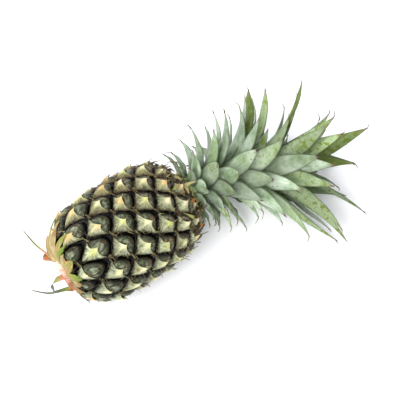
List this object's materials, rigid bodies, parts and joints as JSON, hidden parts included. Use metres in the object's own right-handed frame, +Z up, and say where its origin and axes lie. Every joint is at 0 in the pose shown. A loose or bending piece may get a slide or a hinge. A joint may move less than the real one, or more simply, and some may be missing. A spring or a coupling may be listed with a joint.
{
  "type": "pineapple",
  "caption": "Whole fresh pineapple lying on its side: a barrel of raised square eyes in crossing spirals, a crown of long leaves and a cut stalk with dried bracts.",
  "frame": {"origin": "middle of the flat of the eye that lies under the fruit's weight, on the surface that the fruit lies on", "axes": "+X along the fruit's level axis, from the stalk to the crown; +Z up; the crown bends towards -Y"},
  "size_m": [0.3899, 0.2008, 0.1246],
  "materials": {
    "pineapple_skin": "satin",
    "crown_leaf": "satin",
    "stalk_bract": "matte"
  },
  "bodies": {
    "root": {"fruit": "pineapple_skin", "crown": "crown_leaf", "stalk": "stalk_bract"}
  },
  "joints": []
}
